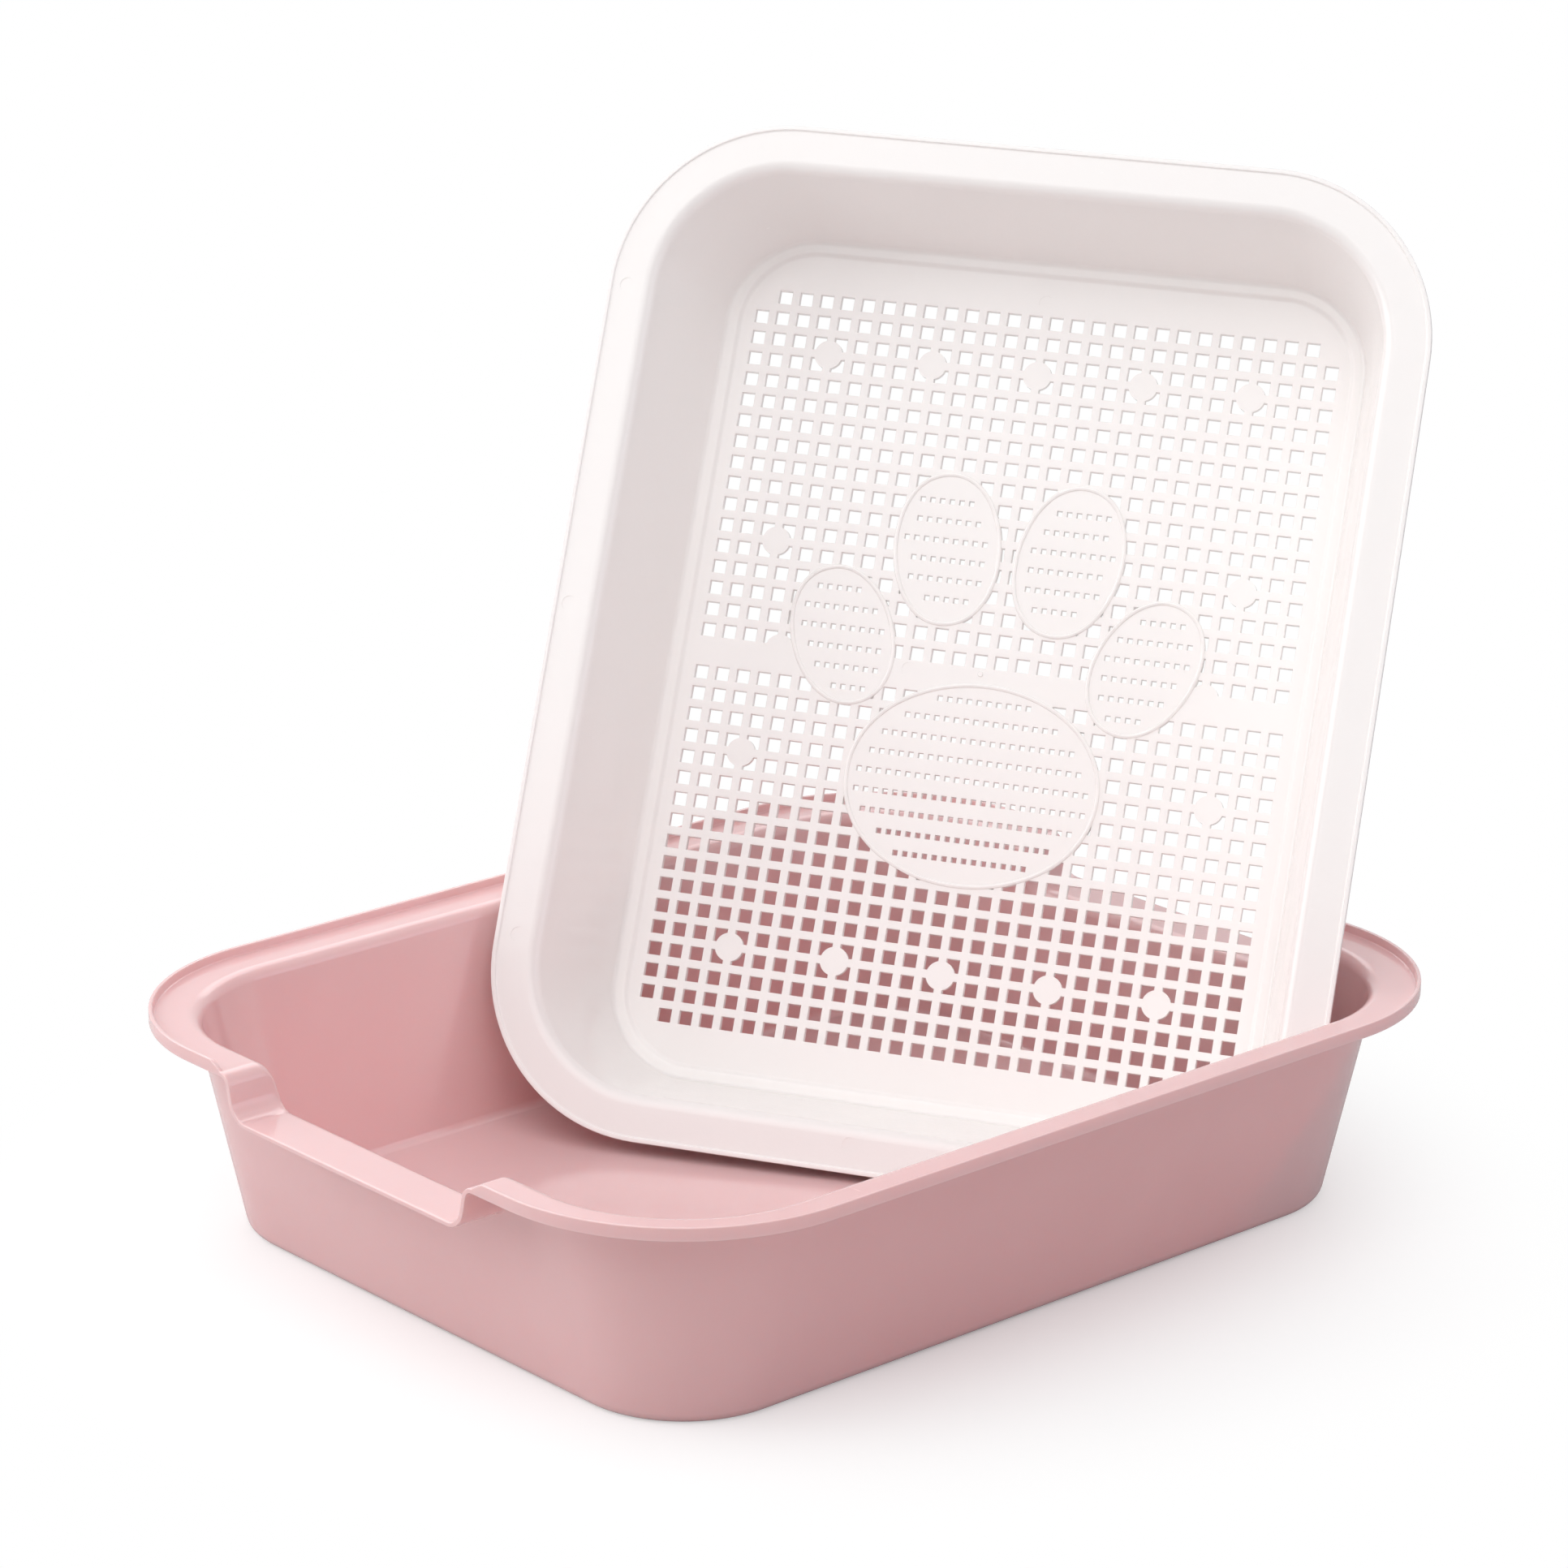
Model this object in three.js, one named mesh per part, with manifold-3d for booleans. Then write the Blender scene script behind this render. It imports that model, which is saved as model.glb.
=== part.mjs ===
// Sifting litter box: an open pan with two lowered entries, and the perforated
// sifting tray that stands in it, leaning back as it is left to dry or drain.
// Millimetres, +Z up. The origin is the centre of the pan's flat underside.
// X runs across the pan, Y along it, and the front entry is at -Y.
import * as THREE from 'three';
import Module from 'manifold-3d';

const wasm = await Module();
wasm.setup();

// The pan: a drafted shell with a wide flange, and a thin lip round its edge.
const PAN = {
  width: 313,
  length: 384,
  cornerRadius: 71.5,
  flangeTop: 77.5,
  lipHeight: 3,
  lipThickness: 1.8,
  lipTipThickness: 1.2,
  flangeThickness: 1.7,
  wallThickness: 2,
  floorThickness: 2.9,
  wallInset: 15.2,
  wallDraftDeg: 12.1,
  bottomFillet: 5,
  floorFillet: 3.2,
  flangeRoll: 5,
};

// A lowered entry in each short side: the flange steps down to a flat sill.
const ENTRY = {
  halfWidth: 61,
  drop: 15,
  stepDeg: 78,
  upperRadius: 5,
  lowerRadius: 7,
  lipEndRun: 5,
};

// The tray nests in the pan: its rim lies inside the pan's lip.
const NEST = {
  clearance: 2.95,
  cornerEase: 2.75,
};
const nestInset = PAN.lipThickness + NEST.clearance;

// The sifting tray, in its own frame: floor top at zero, open side up.
const TRAY = {
  width: PAN.width - 2 * nestInset,
  length: PAN.length - 2 * nestInset,
  cornerRadius: PAN.cornerRadius - nestInset - NEST.cornerEase,
  depth: 53,
  borderHeight: 0.6,
  borderWidth: 1.8,
  flangeThickness: 1.8,
  wallThickness: 1.66,
  wallInset: 14.7,
  wallDraftDeg: 15.7,
  flangeRoll: 5,
  floorThickness: 2,
  baseFillet: 1.6,
  ledgeHeight: 2.5,
  ledgeWidth: 3.2,
  ledgeStep: 0.5,
};

// The sieve floor: square holes on a square net, a plain band across the
// middle, and round pads where four holes meet.
const SIEVE = {
  pitch: 13.6,
  hole: 8.5,
  margin: 42,
  padRadius: 5.3,
};
const netColumns = 2 * Math.floor((TRAY.width / 2 - SIEVE.margin) / SIEVE.pitch);
const netRows = 2 * Math.floor((TRAY.length - 2 * SIEVE.margin - SIEVE.pitch) / SIEVE.pitch / 2) + 1;
const PAD = {
  endX: 40,
  endY: 116,
  sideX: 88,
  sideUp: 44,
  midX: 80,
  midUp: 4,
  sideDown: 36,
};

// A paw print outlined on the floor by a raised line, with small holes in it.
const PAW = {
  padX: 47,
  padY: 37,
  padDown: 38,
  innerX: 19.5,
  innerY: 28,
  innerOut: 23,
  innerUp: 48,
  innerTurnDeg: 8,
  outerX: 18.5,
  outerY: 26,
  outerOut: 57,
  outerUp: 12,
  outerTurnDeg: 24,
  lineWidth: 1.6,
  lineHeight: 0.6,
  lineClearance: 0.7,
  smallHole: 3.2,
};

// How the tray stands: turned to the pan's rear left corner, leaning back,
// its lower edge low at the right. The foot is the middle of the lower edge of
// its rim, placed from the pan's right edge, rear edge and underside.
const STAND = {
  turnDeg: 31.96,
  tiltDeg: 62.61,
  rollDeg: -1.74,
  footFromRight: 143.2,
  footFromRear: 166.1,
  footHeight: 6.41,
};

// One overrun for every cut and every seat of a joined piece.
const OVERRUN = 1;

// Steps of a rounded corner, a fillet, an entry's arc and an outline.
const CORNER_STEPS = 8;
const FILLET_STEPS = 3;
const ARC_STEPS = 4;
const OUTLINE_STEPS = 28;
const PAD_STEPS = 16;

const rad = THREE.MathUtils.degToRad;

// Points of an arc in the profile plane, given as inset and height.
function profileArc(inset, z, radius, fromDeg, toDeg, steps) {
  const points = [];
  for (let i = 0; i <= steps; i += 1) {
    const a = rad(fromDeg + ((toDeg - fromDeg) * i) / steps);
    points.push({ inset: inset + radius * Math.cos(a), z: z + radius * Math.sin(a) });
  }
  return points;
}

// Columns run round the outline, counter-clockwise from above, each with the
// place of its outer edge for a given inset.
function cornerColumns(width, length, radius, signX, signY, startDeg) {
  const columns = [];
  const cx = signX * (width / 2 - radius);
  const cy = signY * (length / 2 - radius);
  for (let i = 0; i <= CORNER_STEPS; i += 1) {
    const a = rad(startDeg + (90 * i) / CORNER_STEPS);
    const place = (inset) => [
      cx + (radius - inset) * Math.cos(a),
      cy + (radius - inset) * Math.sin(a),
    ];
    columns.push({ place, drop: 0, lipShare: 1, offsetX: 0, offsetZ: 1 });
  }
  return columns;
}

// A closed shell from rings of equal count: the first and last ring are each
// closed by a fan, the first facing down and the last facing up.
function shell(rings) {
  const count = rings[0].length;
  const positions = rings.flat(2);
  const indices = [];
  for (let k = 0; k + 1 < rings.length; k += 1) {
    for (let c = 0; c < count; c += 1) {
      const next = (c + 1) % count;
      const a = k * count + c;
      const b = k * count + next;
      const d = (k + 1) * count + c;
      const e = (k + 1) * count + next;
      indices.push(a, b, e, a, e, d);
    }
  }
  const first = rings.length * count;
  positions.push(0, 0, rings[0][0][2], 0, 0, rings[rings.length - 1][0][2]);
  const top = (rings.length - 1) * count;
  for (let c = 0; c < count; c += 1) {
    const next = (c + 1) % count;
    indices.push(first, next, c);
    indices.push(first + 1, top + c, top + next);
  }
  const geometry = new THREE.BufferGeometry();
  geometry.setAttribute('position', new THREE.Float32BufferAttribute(positions, 3));
  geometry.setIndex(indices);
  return geometry;
}

// A manifold-3d solid from an indexed geometry, and back again.
function toSolid(geometry) {
  const mesh = new wasm.Mesh({
    numProp: 3,
    vertProperties: new Float32Array(geometry.attributes.position.array),
    triVerts: new Uint32Array(geometry.index.array),
  });
  mesh.merge();
  return new wasm.Manifold(mesh);
}

function toGeometry(solid) {
  const mesh = solid.getMesh();
  const geometry = new THREE.BufferGeometry();
  geometry.setAttribute('position', new THREE.Float32BufferAttribute(mesh.vertProperties, 3));
  geometry.setIndex(Array.from(mesh.triVerts));
  geometry.computeVertexNormals();
  return geometry;
}

// An upright prism over a closed outline, with an optional hole in it.
function prism(outline, hole, bottom, top) {
  const shape = new THREE.Shape(outline);
  if (hole) {
    shape.holes.push(new THREE.Path(hole));
  }
  const source = new THREE.ExtrudeGeometry(shape, {
    depth: top - bottom,
    bevelEnabled: false,
    steps: 1,
  });
  source.translate(0, 0, bottom);
  const plain = new THREE.BufferGeometry();
  plain.setAttribute('position', source.attributes.position);
  plain.setIndex([...Array(source.attributes.position.count).keys()]);
  return toSolid(plain);
}

function square(x, y, side) {
  const h = side / 2;
  return [
    new THREE.Vector2(x - h, y - h),
    new THREE.Vector2(x + h, y - h),
    new THREE.Vector2(x + h, y + h),
    new THREE.Vector2(x - h, y + h),
  ];
}

function circle(x, y, radius, steps) {
  const points = [];
  for (let i = 0; i < steps; i += 1) {
    const a = (2 * Math.PI * i) / steps;
    points.push(new THREE.Vector2(x + radius * Math.cos(a), y + radius * Math.sin(a)));
  }
  return points;
}

const panDraft = Math.tan(rad(PAN.wallDraftDeg));
const panWallOuter = (z) => PAN.wallInset + (PAN.flangeTop - z) * panDraft;
const panWallInner = (z) => panWallOuter(z) + PAN.wallThickness;

// The edge of an entry, from the flange down to the sill: distance from the
// middle of the entry, drop below the flange, and the surface normal.
function entryEdge() {
  const steep = rad(ENTRY.stepDeg);
  const half = ENTRY.drop / 2 / Math.tan(steep);
  const upperX = ENTRY.halfWidth + half + ENTRY.upperRadius * Math.tan(steep / 2);
  const lowerX = ENTRY.halfWidth - half - ENTRY.lowerRadius * Math.tan(steep / 2);
  const edge = [];
  for (let i = 0; i <= ARC_STEPS; i += 1) {
    const a = (steep * i) / ARC_STEPS;
    edge.push({
      x: upperX - ENTRY.upperRadius * Math.sin(a),
      drop: ENTRY.upperRadius * (1 - Math.cos(a)),
      nx: -Math.sin(a),
      nz: Math.cos(a),
    });
  }
  for (let i = ARC_STEPS; i >= 0; i -= 1) {
    const a = (steep * i) / ARC_STEPS;
    edge.push({
      x: lowerX + ENTRY.lowerRadius * Math.sin(a),
      drop: ENTRY.drop - ENTRY.lowerRadius * (1 - Math.cos(a)),
      nx: -Math.sin(a),
      nz: Math.cos(a),
    });
  }
  return edge;
}

// The columns of one short side, from its left to its right as seen from
// outside; side is -1 for the front and 1 for the rear.
function entryColumns(side) {
  const edge = entryEdge();
  const start = edge[0].x;
  const columns = [];
  const add = (x, drop, lipShare, nx, nz) => {
    const place = (inset) => [-side * x, side * (PAN.length / 2 - inset)];
    columns.push({ place, drop, lipShare, offsetX: -side * nx, offsetZ: nz });
  };
  const lipEndShares = [1, 0.6, 0.5, 0];
  const lipRunShares = [1, 0.7, 0.35, 0.1];
  lipEndShares.forEach((share, i) => {
    add(-(start + ENTRY.lipEndRun * lipRunShares[i]), 0, share, 0, 1);
  });
  edge.forEach((p) => add(-p.x, p.drop, 0, -p.nx, p.nz));
  edge.slice().reverse().forEach((p) => add(p.x, p.drop, 0, p.nx, p.nz));
  lipEndShares.slice().reverse().forEach((share, i) => {
    const run = lipRunShares[lipRunShares.length - 1 - i];
    add(start + ENTRY.lipEndRun * run, 0, share, 0, 1);
  });
  return columns;
}

function panColumns() {
  const { width, length, cornerRadius } = PAN;
  return [
    ...entryColumns(-1),
    ...cornerColumns(width, length, cornerRadius, 1, -1, -90),
    ...cornerColumns(width, length, cornerRadius, 1, 1, 0),
    ...entryColumns(1),
    ...cornerColumns(width, length, cornerRadius, -1, 1, 90),
    ...cornerColumns(width, length, cornerRadius, -1, -1, 180),
  ];
}

// The section of the pan at one column, from its underside outwards, over
// the lip and down again to the floor.
function panSection(column) {
  const slope = 90 - PAN.wallDraftDeg;
  const flange = PAN.flangeTop - column.drop;
  const under = flange - PAN.flangeThickness * column.offsetZ;
  const shift = -column.offsetX * PAN.flangeThickness;
  const lip = PAN.lipHeight * column.lipShare;
  const reach = Math.tan(rad(slope / 2));
  const points = [];
  const push = (inset, z, moved) => points.push({ inset, z, shift: moved });

  const foot = PAN.bottomFillet * reach;
  const footInset = panWallOuter(0) + foot;
  profileArc(footInset, PAN.bottomFillet, PAN.bottomFillet, -90, -90 - slope, FILLET_STEPS)
    .forEach((p) => push(p.inset, p.z, shift));
  push(panWallOuter(under), under, shift);
  push(0, under, shift);
  push(0, flange + lip, 0);
  const tip = column.lipShare * (PAN.lipTipThickness - PAN.lipThickness / 2);
  push(PAN.lipThickness / 2 + tip, flange + lip, 0);
  push(PAN.lipThickness, flange, 0);

  const roll = PAN.flangeRoll * reach;
  const rollInset = panWallInner(flange) - roll;
  profileArc(rollInset, flange - PAN.flangeRoll, PAN.flangeRoll, 90, 90 - slope, FILLET_STEPS)
    .forEach((p) => push(p.inset, p.z, 0));

  const floor = PAN.floorThickness;
  const bend = PAN.floorFillet * reach;
  const bendInset = panWallInner(floor) + bend;
  profileArc(bendInset, floor + PAN.floorFillet, PAN.floorFillet, -90 - slope, -90, FILLET_STEPS)
    .forEach((p) => push(p.inset, p.z, 0));
  return points;
}

function makePan() {
  const columns = panColumns();
  const sections = columns.map(panSection);
  const rings = sections[0].map((_, k) => columns.map((column, c) => {
    const point = sections[c][k];
    const [x, y] = column.place(point.inset);
    return [x + point.shift, y, point.z];
  }));
  return toSolid(shell(rings));
}

const trayDraft = Math.tan(rad(TRAY.wallDraftDeg));
const trayFlangeTop = TRAY.depth - TRAY.borderHeight;
const trayWallOuter = (z) => TRAY.wallInset + (TRAY.depth - z) * trayDraft;
const trayWallInner = (z) => trayWallOuter(z) + TRAY.wallThickness;

function trayShell() {
  const slope = 90 - TRAY.wallDraftDeg;
  const reach = Math.tan(rad(slope / 2));
  const base = -TRAY.floorThickness;
  const under = TRAY.depth - TRAY.flangeThickness;
  const section = [];
  const push = (inset, z) => section.push({ inset, z });

  const foot = TRAY.baseFillet * reach;
  profileArc(trayWallOuter(base) + foot, base + TRAY.baseFillet, TRAY.baseFillet,
    -90, -90 - slope, FILLET_STEPS).forEach((p) => push(p.inset, p.z));
  push(trayWallOuter(under), under);
  push(0, under);
  push(0, TRAY.depth);
  push(TRAY.borderWidth - TRAY.borderHeight / 2, TRAY.depth);
  push(TRAY.borderWidth, trayFlangeTop);
  const rollInset = trayWallInner(trayFlangeTop) - TRAY.flangeRoll * reach;
  profileArc(rollInset, trayFlangeTop - TRAY.flangeRoll, TRAY.flangeRoll,
    90, 90 - slope, FILLET_STEPS).forEach((p) => push(p.inset, p.z));
  const ledge = trayWallInner(TRAY.ledgeHeight);
  push(ledge, TRAY.ledgeHeight);
  push(ledge + TRAY.ledgeWidth, TRAY.ledgeHeight);
  push(ledge + TRAY.ledgeWidth + TRAY.ledgeStep, 0);

  const { width, length, cornerRadius } = TRAY;
  const columns = [
    ...cornerColumns(width, length, cornerRadius, 1, -1, -90),
    ...cornerColumns(width, length, cornerRadius, 1, 1, 0),
    ...cornerColumns(width, length, cornerRadius, -1, 1, 90),
    ...cornerColumns(width, length, cornerRadius, -1, -1, 180),
  ];
  const rings = section.map((point) => columns.map((column) => {
    const [x, y] = column.place(point.inset);
    return [x, y, point.z];
  }));
  return toSolid(shell(rings));
}

// The five closed forms of the paw print, each an ellipse with a turn.
const pawForms = [
  { x: 0, y: -PAW.padDown, a: PAW.padX, b: PAW.padY, turn: 0 },
  { x: -PAW.innerOut, y: PAW.innerUp, a: PAW.innerX, b: PAW.innerY, turn: PAW.innerTurnDeg },
  { x: PAW.innerOut, y: PAW.innerUp, a: PAW.innerX, b: PAW.innerY, turn: -PAW.innerTurnDeg },
  { x: -PAW.outerOut, y: PAW.outerUp, a: PAW.outerX, b: PAW.outerY, turn: PAW.outerTurnDeg },
  { x: PAW.outerOut, y: PAW.outerUp, a: PAW.outerX, b: PAW.outerY, turn: -PAW.outerTurnDeg },
];

function pawOutline(form, grow) {
  const turn = rad(form.turn);
  const points = [];
  for (let i = 0; i < OUTLINE_STEPS; i += 1) {
    const a = (2 * Math.PI * i) / OUTLINE_STEPS;
    const u = (form.a + grow) * Math.cos(a);
    const v = (form.b + grow) * Math.sin(a);
    points.push(new THREE.Vector2(
      form.x + u * Math.cos(turn) - v * Math.sin(turn),
      form.y + u * Math.sin(turn) + v * Math.cos(turn),
    ));
  }
  return points;
}

// The corners of a square hole, and its middle.
function holeCorners(x, y, side) {
  return square(x, y, side).concat([new THREE.Vector2(x, y)]);
}

// True where a point lies in a form that is grown by the given amount.
function insideForm(form, point, grow) {
  const turn = -rad(form.turn);
  const dx = point.x - form.x;
  const dy = point.y - form.y;
  const u = (dx * Math.cos(turn) - dy * Math.sin(turn)) / (form.a + grow);
  const v = (dx * Math.sin(turn) + dy * Math.cos(turn)) / (form.b + grow);
  return u * u + v * v < 1;
}

const netX = (i) => (i - (netColumns - 1) / 2) * SIEVE.pitch;
const netY = (j) => (j - (netRows - 1) / 2) * SIEVE.pitch;

// The pads sit where four holes meet, at the crossing nearest to their place.
const crossX = (x) => SIEVE.pitch * Math.round(x / SIEVE.pitch);
const crossY = (y) => SIEVE.pitch * (Math.floor(y / SIEVE.pitch) + 1 / 2);

function padPlaces() {
  const places = [];
  for (const k of [-2, -1, 0, 1, 2]) {
    places.push([k * PAD.endX, PAD.endY], [k * PAD.endX, -PAD.endY]);
  }
  for (const side of [-1, 1]) {
    places.push([side * PAD.sideX, PAD.sideUp]);
    places.push([side * PAD.midX, PAD.midUp]);
    places.push([side * PAD.sideX, -PAD.sideDown]);
  }
  return places.map(([x, y]) => [crossX(x), crossY(y)]);
}

function makeTray() {
  const base = -TRAY.floorThickness;
  const lineOut = PAW.lineWidth / 2 + PAW.lineClearance;
  const holes = [];
  for (let i = 0; i < netColumns; i += 1) {
    for (let j = 0; j < netRows; j += 1) {
      const x = netX(i);
      const y = netY(j);
      const endColumn = i === 0 || i === netColumns - 1;
      const endRow = j === 0 || j === netRows - 1;
      const band = Math.abs(y) < SIEVE.pitch / 2;
      const open = holeCorners(x, y, SIEVE.hole)
        .every((p) => pawForms.every((form) => !insideForm(form, p, lineOut)));
      const small = holeCorners(x, y, PAW.smallHole)
        .every((p) => pawForms.some((form) => insideForm(form, p, -lineOut)));
      if (open && !band && !(endColumn && endRow)) {
        holes.push(prism(square(x, y, SIEVE.hole), null, base - OVERRUN, OVERRUN));
      } else if (small) {
        holes.push(prism(square(x, y, PAW.smallHole), null, base - OVERRUN, OVERRUN));
      }
    }
  }
  let solid = trayShell();
  solid = solid.subtract(wasm.Manifold.union(holes));
  const added = padPlaces().map(([x, y]) => prism(
    circle(x, y, SIEVE.padRadius, PAD_STEPS), null, base, 0));
  for (const form of pawForms) {
    const half = PAW.lineWidth / 2;
    added.push(prism(pawOutline(form, half), pawOutline(form, -half),
      -TRAY.floorThickness / 2, PAW.lineHeight));
  }
  return solid.add(wasm.Manifold.union(added));
}

const pink = new THREE.MeshStandardMaterial({ color: 0xe2b4b6, roughness: 0.5, metalness: 0 });
const white = new THREE.MeshStandardMaterial({ color: 0xf6f1ee, roughness: 0.4, metalness: 0 });

const pan = new THREE.Mesh(toGeometry(makePan()), pink);
pan.name = 'litter_pan';

const tray = new THREE.Mesh(toGeometry(makeTray()), white);
tray.name = 'sifting_tray';
tray.position.set(0, TRAY.length / 2, -TRAY.depth);

const trayRoll = new THREE.Group();
trayRoll.rotation.z = rad(STAND.rollDeg);
trayRoll.add(tray);

const trayTilt = new THREE.Group();
trayTilt.rotation.x = rad(STAND.tiltDeg);
trayTilt.add(trayRoll);

const trayPlace = new THREE.Group();
trayPlace.position.set(
  PAN.width / 2 - STAND.footFromRight,
  PAN.length / 2 - STAND.footFromRear,
  STAND.footHeight,
);
trayPlace.rotation.z = rad(STAND.turnDeg);
trayPlace.add(trayTilt);

const box = new THREE.Group();
box.add(pan);
box.add(trayPlace);

export default box;
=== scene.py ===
"""Looks of the sifting litter box.

A pink litter pan with two lowered entries, and the white sifting tray that
leans in it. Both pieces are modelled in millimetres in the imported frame's own
axes: X across the pan, Y along it with the near entry towards -Y, Z up.
"""

import logging
import math
from collections import defaultdict
from collections.abc import Callable, Iterable
from dataclasses import dataclass
from enum import Enum
from functools import partialmethod

import bmesh
import bpy
from mathutils import Matrix, Vector

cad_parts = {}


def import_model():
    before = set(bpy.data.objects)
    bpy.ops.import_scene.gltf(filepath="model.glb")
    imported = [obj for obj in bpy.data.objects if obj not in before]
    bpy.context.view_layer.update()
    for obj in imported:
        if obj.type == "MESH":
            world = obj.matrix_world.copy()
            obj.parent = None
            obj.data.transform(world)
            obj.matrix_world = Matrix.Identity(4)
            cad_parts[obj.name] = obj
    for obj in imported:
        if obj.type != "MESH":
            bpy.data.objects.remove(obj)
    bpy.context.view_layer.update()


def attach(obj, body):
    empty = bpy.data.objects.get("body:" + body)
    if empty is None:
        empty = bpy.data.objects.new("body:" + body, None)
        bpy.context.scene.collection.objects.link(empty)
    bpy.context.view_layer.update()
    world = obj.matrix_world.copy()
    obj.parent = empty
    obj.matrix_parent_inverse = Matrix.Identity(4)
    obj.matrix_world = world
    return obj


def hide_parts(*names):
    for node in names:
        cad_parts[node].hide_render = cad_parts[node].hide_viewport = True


LOG = logging.getLogger("litter_box")
MM = 0.001
# Below this a length counts as nothing.
TINY = 1e-6
# Within these many millimetres a place counts as in a plane, or as at a ring.
FLAT = 0.01
NEAR = 0.1
# A face looks up if its normal rises by this share of its length.
UPWARD = 0.9
Body = bpy.types.Object
Pair = tuple[float, float]
Triple = tuple[float, float, float]


class Cut(Enum):
    """What one body does to another when they are joined or carved."""

    AWAY = "DIFFERENCE"
    TOGETHER = "UNION"


class Show(Enum):
    """Which rays see a surface or the surroundings as plain white."""

    CAMERA = "Is Camera Ray"
    GLOSSY = "Is Glossy Ray"
    THROUGH = "Is Transmission Ray"


@dataclass(frozen=True)
class Ring:
    """One line of a profile: how far in from the rim's edge, and how high."""

    inset: float
    height: float


@dataclass(frozen=True)
class RimRing(Ring):
    """A ring of the pan's rim, with its height where the lip is left out."""

    bare: float


@dataclass(frozen=True)
class Column:
    """One cut across an entry: its place, drop, share of the lip, and slope."""

    across: float
    drop: float
    lip_share: float
    slope: float


@dataclass(frozen=True)
class Oval:
    """One closed form of the paw print on the tray's floor."""

    across: float
    along: float
    half_width: float
    half_length: float
    turn_deg: float

    def holds(self, x: float, y: float, grow: float) -> bool:
        """Tells whether a point lies in the oval grown by an amount.

        Args:
            x: The point's place across the tray.
            y: The point's place along the tray.
            grow: How far the oval's edge is moved outwards.

        Returns:
            True if the point is inside.
        """
        turn = -math.radians(self.turn_deg)
        dx, dy = x - self.across, y - self.along
        u = (dx * math.cos(turn) - dy * math.sin(turn)) / (self.half_width + grow)
        v = (dx * math.sin(turn) + dy * math.cos(turn)) / (self.half_length + grow)
        return u * u + v * v < 1


def arc(
    inset: float, height: float, radius: float, start: float, end: float, steps: int
) -> list[Ring]:
    """Gives the rings of a rounded edge.

    Args:
        inset: The arc's centre, in from the rim's edge.
        height: The arc's centre, above the frame's zero.
        radius: The arc's radius.
        start: The first angle, in degrees.
        end: The last angle, in degrees.
        steps: How many steps the arc has.

    Returns:
        The rings from the first angle to the last.
    """
    rings = []
    for i in range(steps + 1):
        a = math.radians(start + (end - start) * i / steps)
        rings.append(Ring(inset + radius * math.cos(a), height + radius * math.sin(a)))
    return rings


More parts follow.
